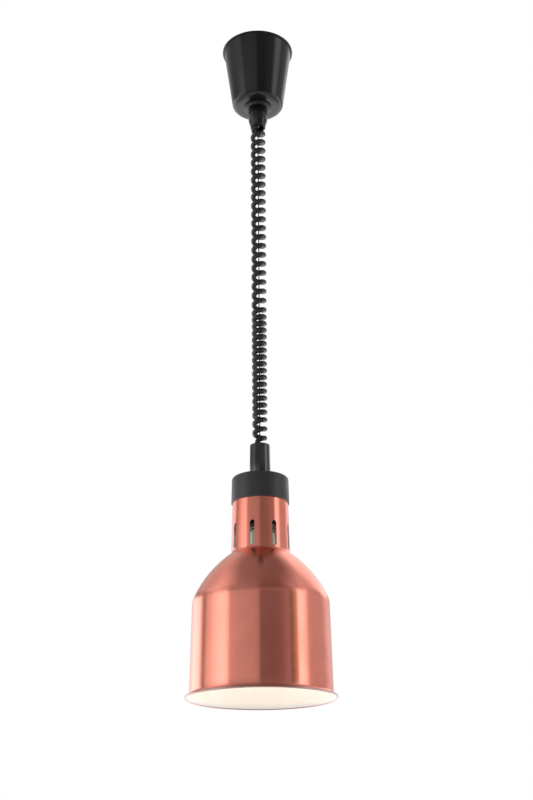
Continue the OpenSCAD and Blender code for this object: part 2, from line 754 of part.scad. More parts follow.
// block that grips the cable above the lampholder
module cord_grip() {
    color("ivory") translate([tail_x, tail_y, strap_z]) difference() {
        translate([-grip_w / 2, -grip_w / 2 + 1, 0]) cube([grip_w, grip_w - 2, grip_h]);
        translate([0, 0, -1]) cylinder(r = cable_d / 2 + 0.15, h = grip_h + 2);
        translate([grip_w / 2 + 1, 0, grip_h / 2]) rotate([0, -90, 0])
            cylinder(r = m3_r + run_gap, h = grip_w / 2);
    }
}

// screw that presses the grip on the cable
module grip_screws() {
    color("silver") translate([tail_x + grip_w / 2, tail_y, strap_z + grip_h / 2]) rotate([0, 90, 0])
        screw(m3_r, grip_w / 2 - cable_d / 2 - seat_gap, m3_head_r - 0.6, m3_head_h);
}

// cable from the mouth of the sleeve down through the grip
module cord_tail_lamp() {
    color("#222222") translate([tail_x, tail_y, strap_z - strap_t])
        cylinder(r = cable_d / 2, h = sleeve_z - strap_z + strap_t);
}

// two cores from the end of the cable to the lampholder's terminals
module leads_lamp() {
    start_z = strap_z - strap_t;
    post_z = start_z - chamber_h + terminal_w;
    color("peru") for (side = [-1, 1]) bar([[tail_x + side * 1.5, tail_y, start_z - 0.1],
        [tail_x + side * 1.5, tail_y, start_z - 1.4], [side * 5.5, tail_y + 2.2, start_z - 3.2],
        [side * terminal_x, 0, post_z + lead_r * 0.8]], lead_r, 8);
}

// body of the lampholder, with a chamber above and a socket below
module lampholder() {
    color("#2a2624") difference() {
        rotate_extrude() polygon(concat([[0, holder_z], [holder_r, holder_z], [holder_r, holder_z - 18],
            [holder_low_r, holder_z - 22]], curve2([holder_low_r, holder_low_z + 2],
            [holder_low_r, holder_low_z], [holder_low_r - 2, holder_low_z], 4), [[0, holder_low_z]]));
        translate([0, 0, holder_z - chamber_h]) cylinder(r = chamber_r, h = chamber_h + 1);
        translate([0, 0, holder_low_z - 1]) cylinder(r = shell_r + fit, h = socket_depth + 1);
        for (side = [-1, 1]) translate([side * holder_screw_x, 0, holder_z - holder_screw_len])
            cylinder(r = m3_r + run_gap, h = holder_screw_len + 1);
    }
}

// screws through the strap into the lampholder
module holder_screws() {
    color("silver") for (side = [-1, 1]) translate([side * holder_screw_x, 0, strap_z])
        screw(m3_r, strap_t + holder_screw_len - 1, m3_head_r, m3_head_h);
}

// brass terminal posts in the chamber
module holder_terminals() {
    color("gold") for (side = [-1, 1])
        translate([side * terminal_x - terminal_w / 2, -terminal_w / 2, holder_z - chamber_h])
            cube([terminal_w, terminal_w, terminal_w]);
}

// threaded brass shell of the socket
module screw_shell() {
    color("gold") tube(shell_r, shell_r - shell_t, socket_z - shell_len, socket_z);
}

// sprung centre contact of the socket
module centre_contact() {
    color("gold") translate([0, 0, socket_z - contact_h]) union() {
        cylinder(r = 3, h = 1);
        cylinder(r = 1.8, h = contact_h);
        translate([-2, -2, contact_h - 0.8]) cube([10, 4, 0.8]);
    }
}

// outline of the bulb's outer face, from its neck to the middle of its face
function bulb_path() = concat([[base_in_r - fit, neck_glass_z + 2]],
    curve2([base_in_r - fit, neck_glass_z - 2.5], [bulb_neck_r, neck_glass_z - 3.5],
        [bulb_neck_r, bulb_neck_z], 4),
    curve3([bulb_neck_r, flare_top_z], [bulb_neck_r, flare_top_z - 24], [bulb_r, bulb_wide_z + 32],
        [bulb_r, bulb_wide_z], 12),
    [for (p = curve3([bulb_r, bulb_wide_z], [bulb_r, bulb_wide_z - 25], [bulb_r * 0.62, bulb_low_z],
        [0, bulb_low_z], 12)) if (p.y < bulb_wide_z) p]);

// blown glass envelope of the reflector bulb
module bulb_glass() {
    color("whitesmoke") rotate_extrude() intersection() {
        polygon(sheet(bulb_path(), glass_t));
        translate([0, bulb_low_z - 1]) square([bulb_r + 1, bulb_len]);
    }
}

// rolled screw base of the bulb
module bulb_base() {
    rows = floor(base_len / thread_pitch);
    step = thread_pitch / 4;
    wave = [for (i = [0 : 4 * rows]) [thread_r - 0.45 + 0.45 * cos(90 * i), base_z - 0.5 - i * step]];
    color("gold") rotate_extrude() polygon(concat([[base_in_r, base_z], [thread_r - 1, base_z]], wave,
        [[thread_r - 0.2, base_z - base_len], [base_in_r, base_z - base_len]]));
}

// black glass between the base and its contact
module bulb_insulator() {
    color("#141414") translate([0, 0, base_z])
        cylinder(r1 = thread_r - 1.2, r2 = bulb_contact_r, h = insulator_h);
}

// contact under the insulator
module bulb_contact() {
    color("silver") translate([0, 0, bulb_z - bulb_contact_h])
        cylinder(r1 = bulb_contact_r, r2 = 3, h = bulb_contact_h);
}

// glass stem in the bulb's neck
module glass_stem() {
    flare_r = base_in_r - fit - glass_t - seat_gap;
    color("lightblue") rotate_extrude() polygon([[0, neck_glass_z], [flare_r, neck_glass_z],
        [stem_glass_r, neck_glass_z - 9], [stem_glass_r, flare_top_z], [0, flare_top_z]]);
}

// stiff wires that carry the filament
module filament_supports() {
    spread = (filament_ring_r - 3) / (flare_top_z - filament_z);
    color("silver") for (turn = [0 : 120 : 240]) rotate(turn) bar([[3, 0, flare_top_z],
        [3 + spread * 20, 0, flare_top_z - 20], [filament_ring_r, 0, filament_z]], 0.6, 8);
}

// filament coil, as a bent ring
module filament() {
    color("orange") translate([0, 0, filament_z - 1.6]) rotate_extrude(angle = 300)
        translate([filament_ring_r, 0])
        circle(r = 1.2, $fn = 24);
}

ceiling_plate();
reel_frame();
frame_screws();
ceiling_cup();
reel_case();
reel_cover();
reel_axle();
axle_nut();
case_screw();
wire_guide();
reel_drum();
mainspring();
wound_wire();
outlet_nipple();
nipple_nuts();
gland_flange();
gland_body();
terminal_block();
terminal_barrels();
terminal_screws();
block_screw();
cord_tail_ceiling();
leads_ceiling();
curly_cord();
suspension_wire();
stem_sleeve();
anchor_plate();
wire_ferrule();
stem_nut();
cap();
lamp_bridge();
shade();
holder_strap();
bridge_bolts();
bridge_nuts();
cord_grip();
grip_screws();
cord_tail_lamp();
leads_lamp();
lampholder();
holder_screws();
holder_terminals();
screw_shell();
centre_contact();
bulb_glass();
bulb_base();
bulb_insulator();
bulb_contact();
glass_stem();
filament_supports();
filament();
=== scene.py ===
import math

import bpy
import numpy as np
from mathutils import Matrix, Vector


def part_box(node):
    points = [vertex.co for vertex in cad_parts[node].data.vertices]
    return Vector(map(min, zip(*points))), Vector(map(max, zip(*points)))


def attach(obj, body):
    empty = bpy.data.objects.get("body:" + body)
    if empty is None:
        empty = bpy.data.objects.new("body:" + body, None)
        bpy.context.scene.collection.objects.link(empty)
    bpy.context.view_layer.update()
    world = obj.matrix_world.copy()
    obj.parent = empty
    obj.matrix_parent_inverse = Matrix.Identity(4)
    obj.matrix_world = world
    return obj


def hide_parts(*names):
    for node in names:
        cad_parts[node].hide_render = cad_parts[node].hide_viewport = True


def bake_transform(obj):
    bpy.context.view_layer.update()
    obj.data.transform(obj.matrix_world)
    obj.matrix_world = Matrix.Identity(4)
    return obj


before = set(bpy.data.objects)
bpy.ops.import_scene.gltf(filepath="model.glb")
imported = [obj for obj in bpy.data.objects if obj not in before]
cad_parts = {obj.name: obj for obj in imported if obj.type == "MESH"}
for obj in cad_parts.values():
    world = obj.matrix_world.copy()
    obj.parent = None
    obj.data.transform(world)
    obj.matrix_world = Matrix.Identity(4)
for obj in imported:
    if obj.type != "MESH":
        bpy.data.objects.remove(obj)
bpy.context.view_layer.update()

# ------------------------------------------------------------------ sizes, in metres

MM = 0.001
CUP_LOW, CUP_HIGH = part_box("ceiling_cup")
FLANGE_LOW, FLANGE_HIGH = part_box("gland_flange")
GLAND_LOW, GLAND_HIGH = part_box("gland_body")
COIL_LOW, COIL_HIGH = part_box("curly_cord")
WIRE_LOW, WIRE_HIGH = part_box("suspension_wire")
SLEEVE_LOW, SLEEVE_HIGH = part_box("stem_sleeve")
CAP_LOW, CAP_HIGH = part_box("cap")
SHADE_LOW, SHADE_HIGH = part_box("shade")
BULB_LOW, BULB_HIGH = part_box("bulb_glass")

# ------------------------------------------------------------------ camera

CAMERA_PLACE = (0.0085, -1.4187, -1.1026)
CAMERA_TILT = math.radians(112.09)
CAMERA_ROLL = math.radians(-0.485)
SENSOR = 36
LENS = 55.33

scene = bpy.context.scene
scene.view_settings.view_transform = "Standard"
camera = bpy.data.objects.new("camera", bpy.data.cameras.new("camera"))
scene.collection.objects.link(camera)
camera.data.lens = LENS
camera.data.sensor_width = SENSOR
camera.matrix_world = (Matrix.Translation(CAMERA_PLACE) @ Matrix.Rotation(CAMERA_TILT, 4, "X")
                       @ Matrix.Rotation(CAMERA_ROLL, 4, "Z"))
scene.camera = camera


# ------------------------------------------------------------------ mesh helpers

AXIS_R = 1e-9


def smooth_but_sharp(mesh, sharp):
    """Smooth shading apart from edges that turn by more than `sharp` degrees."""
    mesh.polygons.foreach_set("use_smooth", np.ones(len(mesh.polygons), bool))
    mesh.set_sharp_from_angle(angle=math.radians(sharp))
    mesh.update()


def make_piece(name, vertices, faces, materials, slot, face_material=None, sharp=40):
    """A piece from vertices and faces. `face_material` gives each face's number in `materials`."""
    mesh = bpy.data.meshes.new(name)
    mesh.from_pydata(vertices.tolist(), [], faces)
    for material in materials:
        mesh.materials.append(material)
    if face_material is not None:
        mesh.polygons.foreach_set("material_index", face_material.astype(np.int32))
    smooth_but_sharp(mesh, sharp)
    piece = bpy.data.objects.new(name, mesh)
    scene.collection.objects.link(piece)
    return piece


def grid_faces(index):
    """Quads of a grid of vertex numbers whose columns close on themselves. Row i is joined to row i + 1."""
    right = np.roll(index, -1, 1)
    return np.stack([index[:-1], right[:-1], right[1:], index[1:]], 2)


def rounded(corners, turn=12):
    """Outline through corners (radius, height, fillet). A fillet is the arc that touches both of its
    corner's edges, drawn in steps of `turn` degrees."""
    points = []
    for i, (x, z, fillet) in enumerate(corners):
        corner = np.array([x, z])
        if fillet == 0:
            points.append(corner)
            continue
        before = np.array(corners[i - 1][:2]) - corner
        after = np.array(corners[(i + 1) % len(corners)][:2]) - corner
        before /= np.linalg.norm(before)
        after /= np.linalg.norm(after)
        half = math.acos(np.clip(before @ after, -1, 1)) / 2
        middle = (before + after) / np.linalg.norm(before + after)
        centre = corner + middle * fillet / math.sin(half)
        start = corner + before * fillet / math.tan(half) - centre
        stop = corner + after * fillet / math.tan(half) - centre
        sweep = math.atan2(start[0] * stop[1] - start[1] * stop[0], start @ stop)
        steps = max(2, math.ceil(abs(math.degrees(sweep)) / turn))
        a = np.linspace(0, sweep, steps + 1)
        arc = np.stack([start[0] * np.cos(a) - start[1] * np.sin(a),
                        start[0] * np.sin(a) + start[1] * np.cos(a)], 1)
        points.extend(centre + arc)
    return np.array(points)


def lathe(name, outline, materials, slot, segments=160, outline_material=None, sharp=35):
    """A closed outline turned about Z: its point (r, z) becomes (r cos t, r sin t, z) for even steps of t.
    The solid is on the outline's left. A point on the axis is one shared vertex, and `outline_material`
    gives the number of the material of the faces that start at each point."""
    outline = np.array(outline)
    turn = np.linspace(0, 2 * math.pi, segments, endpoint=False)
    places = np.stack([np.outer(outline[:, 0], np.cos(turn)), np.outer(outline[:, 0], np.sin(turn)),
                       np.repeat(outline[:, 1:], segments, 1)], 2)
    on_axis = outline[:, 0] < AXIS_R
    kept = np.ones((len(outline), segments), bool)
    kept[on_axis, 1:] = False
    index = (np.cumsum(kept) - 1).reshape(kept.shape)
    has_faces = ~(on_axis & np.roll(on_axis, -1))
    quads = grid_faces(np.concatenate([index, index[:1]]))[has_faces].reshape(-1, 4)
    faces = [list(dict.fromkeys(quad)) for quad in quads.tolist()]
    kinds = np.zeros(len(outline)) if outline_material is None else np.array(outline_material)
    kinds = np.repeat(kinds[has_faces], segments)
    return make_piece(name, places[kept], faces, materials, slot, kinds, sharp)


def tube(name, path, radius, sides, materials, slot, wave=None):
    """A round bar along a path: ring i is path[i] + radius (cos t across[i] + sin t up[i]), where across
    is turned as little as possible from ring to ring and up = way x across. `wave` gives the radius as a
    function of ring and angle. A flat fan closes each end."""
    way = np.gradient(path, axis=0)
    way /= np.linalg.norm(way, axis=1)[:, None]
    side = np.cross(way[0], [0.0, 0.0, 1.0] if abs(way[0][2]) < 0.9 else [1.0, 0.0, 0.0])
    across = np.zeros(path.shape)
    for i, direction in enumerate(way):
        side = side - direction * (side @ direction)
        side /= np.linalg.norm(side)
        across[i] = side
    up = np.cross(way, across)
    turn = np.linspace(0, 2 * math.pi, sides, endpoint=False)
    reach = np.full((len(path), sides), radius) if wave is None else wave(np.arange(len(path))[:, None], turn)
    ring = np.cos(turn)[:, None] * across[:, None] + np.sin(turn)[:, None] * up[:, None]
    rings = path[:, None] + reach[:, :, None] * ring
    index = np.arange(len(path) * sides).reshape(-1, sides)
    right = np.roll(index, -1, 1)
    first, last = index.size, index.size + 1
    fans = [np.stack([np.full(sides, first), right[0], index[0]], 1),
            np.stack([np.full(sides, last), index[-1], right[-1]], 1)]
    faces = grid_faces(index).reshape(-1, 4).tolist() + np.concatenate(fans).tolist()
    vertices = np.concatenate([rings.reshape(-1, 3), path[[0, -1]]])
    return make_piece(name, vertices, faces, materials, slot)


# ------------------------------------------------------------------ material helpers

def add(tree, kind, inputs=None, **settings):
    """One shader node: settings are its own properties, inputs are values or the sockets they come from."""
    made = tree.nodes.new("ShaderNode" + kind)
    for key, value in settings.items():
        setattr(made, key, value)
    for key, value in (inputs or {}).items():
        if isinstance(value, bpy.types.NodeSocket):
            tree.links.new(value, made.inputs[key])
        else:
            made.inputs[key].default_value = value
    return made


def rgb(code):
    """An sRGB hex code as a linear colour."""
    values = [int(code[i:i + 2], 16) / 255 for i in (0, 2, 4)]
    return tuple(v / 12.92 if v <= 0.04045 else ((v + 0.055) / 1.055) ** 2.4 for v in values) + (1.0,)


class Finish:
    """A material with one Principled shader that other nodes drive, on Object coordinates in metres."""

    def __init__(self, name, colour, **shader):
        self.material = bpy.data.materials.new(name)
        self.material.use_nodes = True
        self.tree = self.material.node_tree
        self.tree.nodes.clear()
        inputs = {key.replace("_", " "): value for key, value in shader.items()}
        self.shader = add(self.tree, "BsdfPrincipled", {"Base Color": rgb(colour), **inputs})
        add(self.tree, "OutputMaterial", {"Surface": self.shader.outputs["BSDF"]})
        self.place = add(self.tree, "TexCoord").outputs["Object"]

    def pattern(self, scale, detail=4.0, stretch=None):
        """Soft random spots, `scale` of them to the metre. `stretch` packs them closer along an axis."""
        place = self.place
        if stretch is not None:
            place = add(self.tree, "Mapping", {"Vector": place, "Scale": stretch}).outputs["Vector"]
        spots = add(self.tree, "TexNoise", {"Vector": place, "Scale": scale, "Detail": detail})
        return spots.outputs["Fac"]

    def colour(self, value, stops):
        """The surface's colour, which runs through (position, colour code) stops as the value grows."""
        tones = add(self.tree, "ValToRGB", {"Fac": value})
        elements = tones.color_ramp.elements
        while len(elements) < len(stops):
            elements.new(0.5)
        for element, (position, code) in zip(elements, stops):
            element.position = position
            element.color = rgb(code)
        self.tree.links.new(tones.outputs["Color"], self.shader.inputs["Base Color"])

    def rough(self, value, low, high, value_low=0.3, value_high=0.7):
        """Roughness from low to high while the value goes from value_low to value_high."""
        level = add(self.tree, "MapRange", {"Value": value, "From Min": value_low, "From Max": value_high,
                                            "To Min": low, "To Max": high})
        self.tree.links.new(level.outputs["Result"], self.shader.inputs["Roughness"])

    def relief(self, value, depth, under=None):
        """Relief of that depth in metres. `under` is a relief that it lies on."""
        inputs = {"Height": value, "Distance": depth}
        if under is not None:
            inputs["Normal"] = under
        normal = add(self.tree, "Bump", inputs).outputs["Normal"]
        self.tree.links.new(normal, self.shader.inputs["Normal"])
        return normal


# ------------------------------------------------------------------ finishes

# Patterns are given in spots to the metre: 180 are 5.6 mm apart and 1500 are 0.7 mm apart. The grain of
# moulded plastic, plating, sheaths and powder coat is 0.1 to 0.3 mm wide on the real material. It is drawn
# 0.45 to 1 mm wide, so that it shows.


def moulded(name, colour, low, high, grain, **shader):
    """Moulded plastic: a mottle 5.6 mm wide in its shine, and a 0.7 mm grain of that depth in metres."""
    finish = Finish(name, colour, **shader)
    finish.rough(finish.pattern(180), low, high)
    finish.relief(finish.pattern(1500, 6), grain)
    return finish


def plated(name, colour, low, high, lines=(1, 1, 1), depth=4e-6, **shader):
    """Plated or drawn metal: clouds 11 mm wide in its shine, and 0.45 mm marks that `lines` packs closer
    along an axis, which makes them lines across it."""
    finish = Finish(name, colour, Metallic=1.0, **shader)
    finish.rough(finish.pattern(90), low, high)
    finish.relief(finish.pattern(2200, 5, lines), depth)
    return finish


# Passivated zinc on sheet steel: a grey-blue shine broken by soft crystal patches 4 mm wide.
plate_steel = plated("passivated_zinc_sheet_steel", "B9BCC0", 0.28, 0.42)
patches = add(plate_steel.tree, "TexVoronoi", {"Vector": plate_steel.place, "Scale": 240.0}).outputs["Color"]
shade_of_zinc = add(plate_steel.tree, "SeparateColor", {"Color": patches}).outputs["Red"]
plate_steel.colour(shade_of_zinc, [(0.0, "A9ADB3"), (0.6, "BEC1C5"), (1.0, "CBCBC6")])

# Bright zinc plating on turned fasteners: tight highlights, a trace of yellow.
fastener_steel = plated("bright_zinc_fastener_steel", "C6C6C2", 0.18, 0.3, (1, 1, 3))

# Glossy black moulded plastic: a mirror-like skin with sink waves 18 mm long, over a 1 mm orange peel.
cup_black = Finish("gloss_black_moulded_plastic", "131314", IOR=1.46)
cup_black.rough(cup_black.pattern(260, 6), 0.1, 0.17)
waves = cup_black.relief(cup_black.pattern(55, 2), 2.5e-5)
cup_black.relief(cup_black.pattern(900, 4), 1.5e-6, under=waves)

# Glass-filled black plastic of the cable gland: gloss with a visible grain of fibres.
gland_black = moulded("gloss_black_filled_plastic", "121213", 0.16, 0.3, 8e-6)

# Plastics of the reel and the terminal block: matt bodies, a slippery white bush, waxy natural nylon.
reel_grey = moulded("matt_grey_moulded_plastic", "636468", 0.42, 0.55, 1.2e-5)
guide_white = moulded("slippery_white_plastic", "E6E3DA", 0.25, 0.35, 4e-6, Subsurface_Weight=0.1,
                      Subsurface_Scale=0.001)
drum_orange = moulded("matt_orange_moulded_plastic", "E59A4C", 0.38, 0.5, 8e-6)
terminal_nylon = moulded("natural_nylon", "EBE8DF", 0.34, 0.46, 6e-6, Subsurface_Weight=0.15,
                         Subsurface_Scale=0.0015)
core_brown = moulded("brown_core_insulation", "8A5F45", 0.35, 0.5, 4e-6)

# Blued spring strip: dark blue-grey with straw-coloured clouds 17 mm wide from its heat treatment.
spring_steel = plated("blued_spring_steel", "5D6472", 0.22, 0.34, (1, 4, 1))
spring_steel.colour(spring_steel.pattern(60), [(0.3, "4E5668"), (0.55, "6A7180"), (0.75, "8B7B62")])

# Thin black sheath over a laid steel rope: a dull shine on every strand.
wire_black = moulded("black_sheathed_wire_rope", "262627", 0.3, 0.45, 3e-6)

# Black flexible cable sheath: waxy gloss, paler spots of dust 2.4 mm wide and a 0.8 mm drawn grain.
cord_black = Finish("black_flexible_cable_sheath", "161617")
cord_black.colour(cord_black.pattern(420, 6), [(0.35, "131314"), (0.62, "1B1B1C"), (0.8, "29292A")])
cord_black.rough(cord_black.pattern(300), 0.2, 0.36)
cord_black.relief(cord_black.pattern(1300, 5), 9e-6)

# Rolled brass: warm yellow with brown clouds 7 mm wide where it has been handled.
brass = plated("rolled_brass", "D9B878", 0.2, 0.34)
brass.colour(brass.pattern(140), [(0.35, "C9A05A"), (0.6, "DDBE80"), (0.8, "E3CB98")])

# Rolled aluminium of the bulb's screw base: soft grey, dulled by handling.
base_aluminium = plated("rolled_aluminium", "9FA39B", 0.3, 0.42)

# High-gloss black moulded plastic: deep black with tight grey streaks of the lights, over a 1.7 mm
# orange peel. Its lacquer-like shine takes an IOR above that of plain plastic.
sleeve_black = Finish("high_gloss_moulded_plastic", "070708", IOR=1.8)
sleeve_black.rough(sleeve_black.pattern(200), 0.06, 0.12)
sleeve_black.relief(sleeve_black.pattern(600, 3), 1.5e-6)

# Satin charcoal powder coat on the spun cap: an even sheen with a 0.9 mm grain.
cap_black = Finish("satin_charcoal_powder_coat", "323233")
cap_black.colour(cap_black.pattern(700, 6), [(0.3, "2E2E2F"), (0.7, "38383A")])
cap_black.rough(cap_black.pattern(240), 0.34, 0.44)
cap_black.relief(cap_black.pattern(1100, 3), 1.4e-5)

# Copper-coloured anodised aluminium, brushed round the lamp: the lights stay crisp from side to side
# and smear up and down, over spinning rings 0.7 mm apart, 110 mm clouds in the dye, 26 mm hand marks in
# the shine and 45 mm waves. Real rings are 0.2 mm apart, which would be too fine to show.
copper = Finish("copper_anodised_spun_aluminium", "F99986", Metallic=1.0, Anisotropic=1.0)
copper.colour(copper.pattern(9, 3), [(0.3, "F59380"), (0.6, "FA9B88"), (0.8, "FCA08D")])
rings = copper.pattern(1, 3, (5, 5, 1400))
marks = copper.pattern(38, 8)
shine = add(copper.tree, "Math", {0: rings, 1: marks}, operation="MULTIPLY").outputs["Value"]
copper.rough(shine, 0.13, 0.21, 0.12, 0.42)
up = add(copper.tree, "CombineXYZ", {"Z": 1.0}).outputs["Vector"]
copper.tree.links.new(up, copper.shader.inputs["Tangent"])
rings_relief = copper.relief(rings, 1.2e-6)
copper.relief(copper.pattern(22, 2), 3.5e-5, under=rings_relief)

# The same finish where it is rolled over the rim: thinner dye over bare metal, a dull pinkish grey.
rim_metal = plated("thinly_dyed_rolled_aluminium", "B4948D", 0.24, 0.36)

# White stove enamel inside the shade: soft gloss, 33 mm clouds of cream where the lamp has warmed it,
# and a 1.7 mm orange peel.
enamel = Finish("white_stove_enamel", "F7F3EE")
enamel.colour(enamel.pattern(30, 5), [(0.3, "F8F5F1"), (0.7, "F5EFE8")])
enamel.rough(enamel.pattern(200), 0.3, 0.42)
enamel.relief(enamel.pattern(600, 3), 1.2e-5)

# Bare aluminium on the pressed edges of the slots: pale pinkish grey with shear marks.
cut_edge = plated("bare_cut_aluminium", "D8CBC8", 0.24, 0.4, (1, 1, 6), 6e-6)

# Dark brown glaze over ceramic: glassy, pooled over 11 mm and speckled 2 mm wide.
ceramic = Finish("dark_brown_glazed_ceramic", "211915", Coat_Weight=0.5, Coat_Roughness=0.05)
ceramic.colour(ceramic.pattern(500, 6), [(0.3, "1B1512"), (0.6, "2A201A"), (0.8, "3A2C22")])
ceramic.rough(ceramic.pattern(150), 0.14, 0.26)
ceramic.relief(ceramic.pattern(90, 2), 4e-5)

# Reflector bulb, silvered half: the grey-green mirror of vapour-coated aluminium behind glass, with the
# light of the filament coming through it.
mirror_glass = Finish("silvered_bulb_glass", "A9B0A6", Metallic=0.5, Coat_Weight=0.6, Coat_Roughness=0.03,
                      Emission_Color=rgb("8A927F"), Emission_Strength=0.5)
mirror_glass.colour(mirror_glass.pattern(70, 5), [(0.3, "9CA397"), (0.7, "B6BCB1")])
mirror_glass.rough(mirror_glass.pattern(160), 0.16, 0.3)

# Reflector bulb, face: acid-frosted glass with a 0.6 mm grain that glows warm white.
face_glass = Finish("frosted_bulb_glass", "F7F1E6", Emission_Color=rgb("FFE6D8"), Emission_Strength=1.5)
face_glass.rough(face_glass.pattern(800), 0.3, 0.45)
face_glass.relief(face_glass.pattern(1600, 5), 1e-5)

# Black vitrite glass under the bulb's contact.
insulator = Finish("black_vitrite_glass", "0B0B0C", Coat_Weight=0.4)
insulator.rough(insulator.pattern(300), 0.08, 0.2)
insulator.relief(insulator.pattern(400, 3), 1e-5)

# Drawn tungsten: dull grey metal with die lines, hot where it glows.
tungsten = plated("drawn_tungsten", "B4AFA8", 0.3, 0.45, (6, 1, 1), Emission_Color=rgb("FFC58A"),
                  Emission_Strength=0.6)

FINISHES = {
    "plate_steel": plate_steel, "fastener_steel": fastener_steel, "cup_gloss_black": cup_black,
    "gland_black": gland_black, "reel_grey": reel_grey, "guide_white": guide_white,
    "drum_orange": drum_orange, "spring_steel": spring_steel, "wire_black": wire_black,
    "cord_black": cord_black, "core_brown": core_brown, "terminal_nylon": terminal_nylon,
    "brass": brass, "base_aluminium": base_aluminium, "sleeve_gloss_black": sleeve_black,
    "cap_satin_black": cap_black, "copper_shade": copper, "holder_ceramic": ceramic,
    "bulb_glass": mirror_glass, "insulator_glass": insulator, "tungsten": tungsten}
for cad_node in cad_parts.values():
    cad_node.material_slots[0].material = FINISHES[cad_node.data.materials[0].name].material

# ------------------------------------------------------------------ curly cord

CABLE_R = 3.2 * MM
CORD_SIDES = 20
COIL_TOP_R = COIL_HIGH.x - CABLE_R
COIL_LOW_R = COIL_TOP_R - 0.8 * MM
# The straight stretches that go up into the gland at Y = TAIL_Y and down into the sleeve at LAMP_TAIL.
TAIL_Y = -4.5 * MM
LAMP_TAIL = np.array([-3.155, -4.505]) * MM
TAIL_REACH = 8 * MM
TAIL_STEP = 1.2 * MM
# The helix, top part first: the heights in millimetres where the pitch changes and the turns per millimetre
# that each part is wound with.
FIRST_TURN = -0.75
LAST_TURN = 38 + 125 / 360
RINGS_PER_TURN = 32
HEIGHT_SAMPLES = 20000
COIL_RANGE = (-126.0, -581.2)
PITCH_CHANGES = (-405, -550)
TURNS_PER_MM = (0.074915, 0.107002, 0.082608)
TURN_OFFSET = 10.118
# The joins: turns over which the radius changes, passes of averaging, and the rings it fades out over.
JOIN_TURNS = 0.3
JOIN_PASSES = 12
JOIN_RINGS = (6, 20)


def coil_centreline():
    """Centreline of the cable, from inside the gland to inside the sleeve, as points (r cos t, -r sin t, z)
    with t = 2 pi n. Turn n of the right-handed helix passes +X at height z(n), where z falls by 13.35 mm a
    turn down to -405 mm, 9.35 mm a turn down to -550 mm and 12.1 mm a turn below that. Its radius goes
    evenly from the top to the low value. At both ends it changes over 0.3 of a turn to that of the cable's
    straight vertical stretch, and the join is made smooth by averaging each point with its neighbours."""
    height = np.linspace(*COIL_RANGE, HEIGHT_SAMPLES)
    open_rate, close_rate, low_rate = TURNS_PER_MM
    turns = (-TURN_OFFSET - open_rate * height
             - (close_rate - open_rate) * np.minimum(0, height - PITCH_CHANGES[0])
             - (low_rate - close_rate) * np.minimum(0, height - PITCH_CHANGES[1]))
    n = np.arange(FIRST_TURN, LAST_TURN, 1 / RINGS_PER_TURN)
    z = np.interp(n, turns, height) * MM
    down = (z - z[0]) / (z[-1] - z[0])
    radius = COIL_TOP_R + (COIL_LOW_R - COIL_TOP_R) * down
    out = np.clip((n - FIRST_TURN) / JOIN_TURNS, 0, 1)
    back = np.clip((LAST_TURN - n) / JOIN_TURNS, 0, 1)
    radius = radius * out - TAIL_Y * (1 - out)
    radius = radius * back + np.linalg.norm(LAMP_TAIL) * (1 - back)
    turn = -2 * math.pi * n
    helix = np.stack([radius * np.cos(turn), radius * np.sin(turn), z], 1)
    above = np.arange(COIL_HIGH.z + TAIL_REACH, helix[0, 2] + TAIL_STEP, -TAIL_STEP)
    below = np.arange(helix[-1, 2] - TAIL_STEP, COIL_LOW.z - TAIL_REACH, -TAIL_STEP)
    start = np.stack([np.zeros(len(above)), np.full(len(above), TAIL_Y), above], 1)
    stop = np.stack([np.full(len(below), LAMP_TAIL[0]), np.full(len(below), LAMP_TAIL[1]), below], 1)
    raw = np.concatenate([start, helix, stop])
    smooth = raw.copy()
    for _ in range(JOIN_PASSES):
        smooth[1:-1] = (smooth[:-2] + 2 * smooth[1:-1] + smooth[2:]) / 4
    ring = np.arange(len(raw))
    inside_coil = np.minimum(ring - len(above), len(above) + len(helix) - ring)
    keep = np.interp(inside_coil, JOIN_RINGS, (0, 1))[:, None]
    return raw * keep + smooth * (1 - keep)


centreline = coil_centreline()
cord = tube("curly_cord_cable", centreline, CABLE_R, CORD_SIDES, [cord_black.material], "cord_black")
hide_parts("curly_cord")
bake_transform(cord)

# ------------------------------------------------------------------ suspension wire

WIRE_R = 0.75 * MM
WIRE_STEP = 0.75 * MM
WIRE_SIDES = 24
STRANDS = 6
LAY = 7.5 * MM


def strand_radius(ring, angle):
    """Outline of six round strands: R (0.86 + 0.14 |cos 3(t - 2 pi s / lay)|) at the distance s along the
    rope, so that the strands turn once in each lay."""
    phase = STRANDS * (angle - 2 * math.pi * ring * WIRE_STEP / LAY)
    return WIRE_R * (0.86 + 0.14 * np.abs(np.cos(phase / 2)))


wire_z = np.arange(WIRE_HIGH.z, WIRE_LOW.z, -WIRE_STEP)
wire_path = np.stack([np.zeros(len(wire_z)), np.zeros(len(wire_z)), wire_z], 1)
wire = tube("suspension_rope", wire_path, WIRE_R, WIRE_SIDES, [wire_black.material], "wire_black",
            strand_radius)
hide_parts("suspension_wire")
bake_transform(wire)

# ------------------------------------------------------------------ turned pieces

WIDE_SEGMENTS = 192


def turned(name, slot, finish, corners, segments=160, turn=12):
    """A lathed piece from corners (radius, height, fillet) in millimetres, with the ceiling at height 0
    and its fillets drawn in steps of `turn` degrees."""
    outline = rounded([(r * MM, z * MM, fillet * MM) for r, z, fillet in corners], turn)
    return lathe(name, outline, [finish.material], slot, segments)


